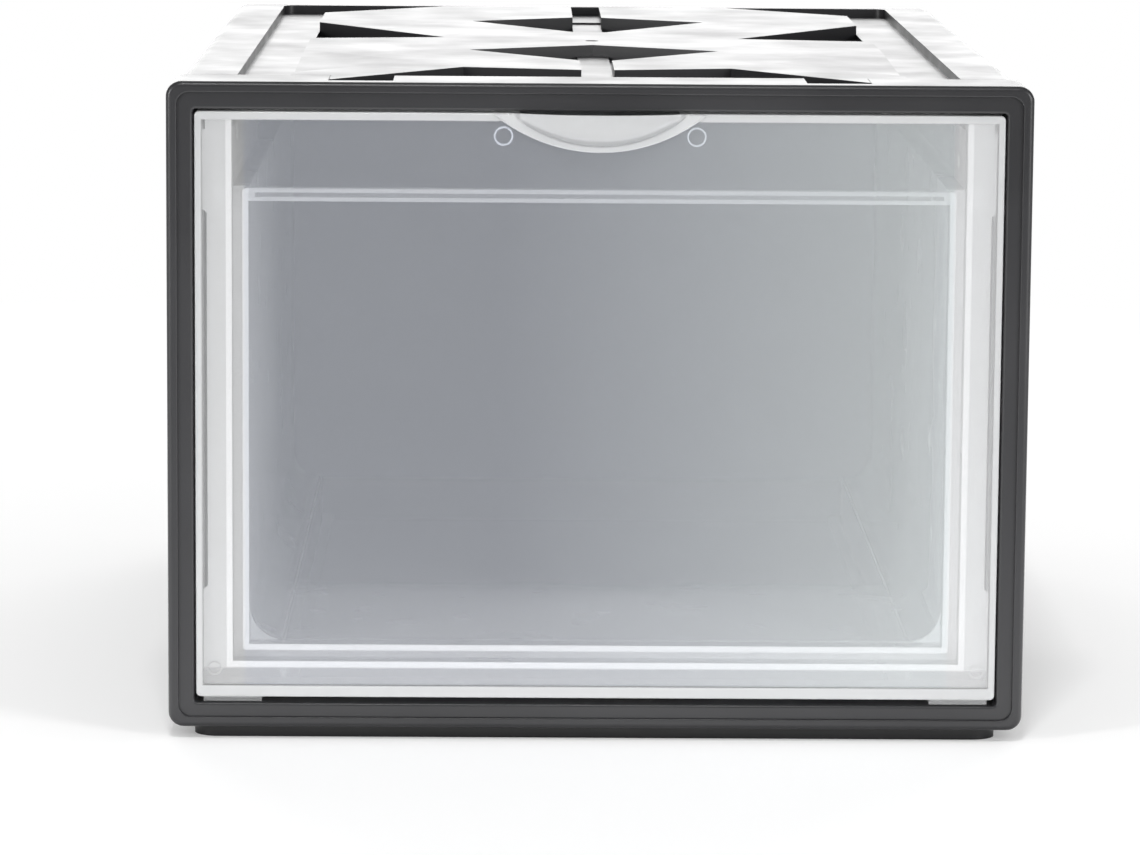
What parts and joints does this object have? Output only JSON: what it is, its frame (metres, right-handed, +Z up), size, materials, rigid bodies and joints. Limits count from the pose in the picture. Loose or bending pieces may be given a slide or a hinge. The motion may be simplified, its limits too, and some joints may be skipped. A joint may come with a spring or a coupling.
{
  "type": "stackable drawer box",
  "caption": "Stackable box with a framed casing, a braced top with a stacking recess, and a frosted pull-out drawer with a half-moon pull.",
  "frame": {"origin": "centre of the footprint, the pull included, on the surface that the feet stand on", "axes": "+Z up, the drawer opens towards -Y, +X to the right when facing the front from behind the viewer"},
  "size_m": [0.28, 0.387, 0.2158],
  "materials": {
    "casing_plastic": "satin",
    "drawer_plastic": "frosted"
  },
  "bodies": {
    "casing": {"front_frame": "casing_plastic", "top_panel": "casing_plastic", "base_panel": "casing_plastic", "left_side_panel": "casing_plastic", "right_side_panel": "casing_plastic", "rear_panel": "casing_plastic"},
    "drawer": {"drawer_front": "drawer_plastic", "drawer_tub": "drawer_plastic"}
  },
  "joints": [
    {"name": "drawer_slide", "type": "slide", "parent": "casing", "child": "drawer", "axis": [0, -1, 0], "range_m": [0, 0.2995]}
  ]
}
